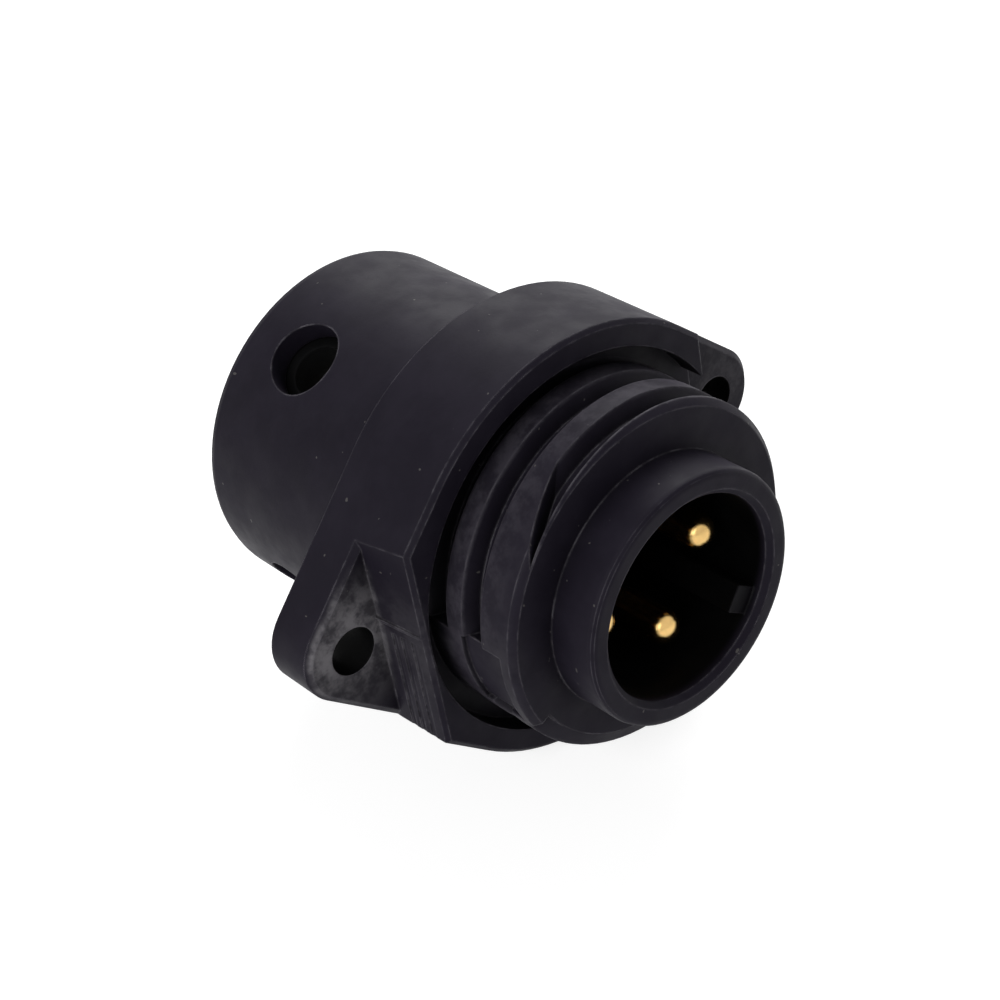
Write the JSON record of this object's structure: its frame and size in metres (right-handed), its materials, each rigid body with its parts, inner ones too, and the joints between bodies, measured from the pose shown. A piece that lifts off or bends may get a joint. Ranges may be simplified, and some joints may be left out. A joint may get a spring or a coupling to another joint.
{
  "type": "panel-mount circular connector plug",
  "caption": "Panel-mount circular power connector with pins in a keyed nose, a coarse coupling thread and a two-ear screw flange.",
  "frame": {"origin": "on the connector's axis, in the plane of the flange's rear face, midway between the two screw holes", "axes": "-Y is the mating direction, the two flange ears lie along X, Z completes the frame and points up"},
  "size_m": [0.0402, 0.0344, 0.0304],
  "materials": {
    "housing_black": "satin",
    "insulator_black": "matte",
    "gold_contact": "polished",
    "nickel_brass": "satin",
    "zinc_steel": "satin",
    "spring_steel": "satin"
  },
  "bodies": {
    "housing": {"housing": "housing_black", "socket_floor": "insulator_black", "contact_carrier": "insulator_black", "power_pin_1": "gold_contact", "power_pin_2": "gold_contact", "power_pin_3": "gold_contact", "earth_pin": "gold_contact", "retaining_ring": "spring_steel", "terminal_block_1": "nickel_brass", "terminal_block_2": "nickel_brass", "terminal_block_3": "nickel_brass", "terminal_block_4": "nickel_brass"},
    "clamp_1": {"clamp_plate_1": "zinc_steel"},
    "screw_1": {"clamp_screw_1": "zinc_steel"},
    "clamp_2": {"clamp_plate_2": "zinc_steel"},
    "screw_2": {"clamp_screw_2": "zinc_steel"},
    "clamp_3": {"clamp_plate_3": "zinc_steel"},
    "screw_3": {"clamp_screw_3": "zinc_steel"},
    "clamp_4": {"clamp_plate_4": "zinc_steel"},
    "screw_4": {"clamp_screw_4": "zinc_steel"}
  },
  "joints": [
    {"name": "clamp_travel_1", "type": "slide", "parent": "housing", "child": "clamp_1", "axis": [0.866, 0, 0.5], "range_m": [-0.0004, 0.00135]},
    {"name": "screw_turn_1", "type": "hinge", "parent": "clamp_1", "child": "screw_1", "pos_m": [0, 0.0107, 0], "axis": [0.866, 0, 0.5], "range_deg": [-288.5, 972.5]},
    {"name": "clamp_travel_2", "type": "slide", "parent": "housing", "child": "clamp_2", "axis": [-0.5, 0, 0.866], "range_m": [-0.0004, 0.00135]},
    {"name": "screw_turn_2", "type": "hinge", "parent": "clamp_2", "child": "screw_2", "pos_m": [0, 0.0107, 0], "axis": [-0.5, 0, 0.866], "range_deg": [-288.5, 972.5]},
    {"name": "clamp_travel_3", "type": "slide", "parent": "housing", "child": "clamp_3", "axis": [-0.866, 0, -0.5], "range_m": [-0.0004, 0.00135]},
    {"name": "screw_turn_3", "type": "hinge", "parent": "clamp_3", "child": "screw_3", "pos_m": [0, 0.0107, 0], "axis": [-0.866, 0, -0.5], "range_deg": [-288.5, 972.5]},
    {"name": "clamp_travel_4", "type": "slide", "parent": "housing", "child": "clamp_4", "axis": [0.5, 0, -0.866], "range_m": [-0.0004, 0.00135]},
    {"name": "screw_turn_4", "type": "hinge", "parent": "clamp_4", "child": "screw_4", "pos_m": [0, 0.0107, 0], "axis": [0.5, 0, -0.866], "range_deg": [-288.5, 972.5]}
  ],
  "couplings": [
    {"joint": "screw_turn_1", "follows": "clamp_travel_1", "rad_per_m": 12566},
    {"joint": "screw_turn_2", "follows": "clamp_travel_2", "rad_per_m": 12566},
    {"joint": "screw_turn_3", "follows": "clamp_travel_3", "rad_per_m": 12566},
    {"joint": "screw_turn_4", "follows": "clamp_travel_4", "rad_per_m": 12566}
  ]
}
